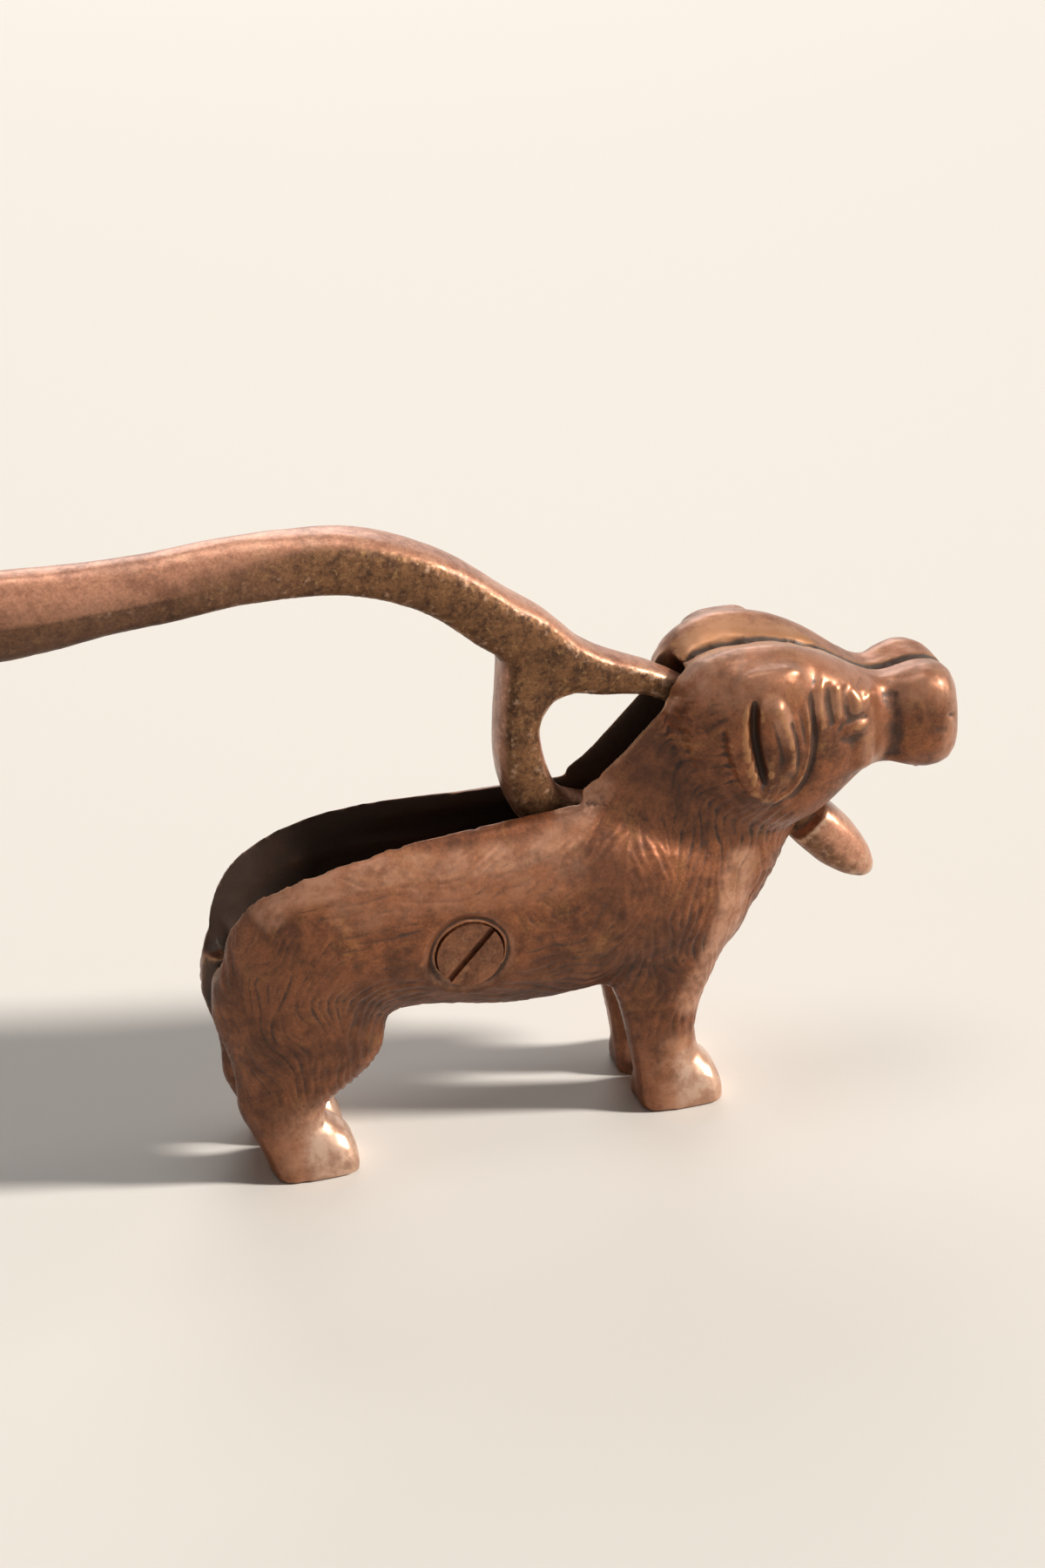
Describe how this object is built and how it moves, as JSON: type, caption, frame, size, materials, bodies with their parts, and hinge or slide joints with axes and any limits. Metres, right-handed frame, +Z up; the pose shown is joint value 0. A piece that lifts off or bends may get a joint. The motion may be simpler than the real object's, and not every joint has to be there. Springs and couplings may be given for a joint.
{
  "type": "lever nutcracker press",
  "caption": "Cast-iron lever nutcracker shaped as a standing dog; the tail handle, arch and lower jaw are one casting that turns on a pin and closes the mouth on the nut.",
  "frame": {"origin": "on the table, below the middle of the whole length, in the joint plane of the two body halves", "axes": "+X towards the nose, +Y to the dog's left, +Z up"},
  "size_m": [0.2712, 0.0504, 0.1676],
  "materials": {
    "body_iron": "brown patinated, satin",
    "lever_iron": "brown patinated, sand cast sides, worn smooth on top",
    "screw_steel": "brown patinated, worn",
    "pin_steel": "bright"
  },
  "bodies": {
    "dog": {"body_half_right": "body_iron", "body_half_left": "body_iron", "pivot_pin": "pin_steel", "flank_screw": "screw_steel"},
    "lever": {"tail_lever": "lever_iron"}
  },
  "joints": [
    {"name": "tail_hinge", "type": "hinge", "parent": "dog", "child": "lever", "pos_m": [0.08227, 0, 0.0828], "axis": [0, -1, 0], "range_deg": [0, 36]}
  ]
}
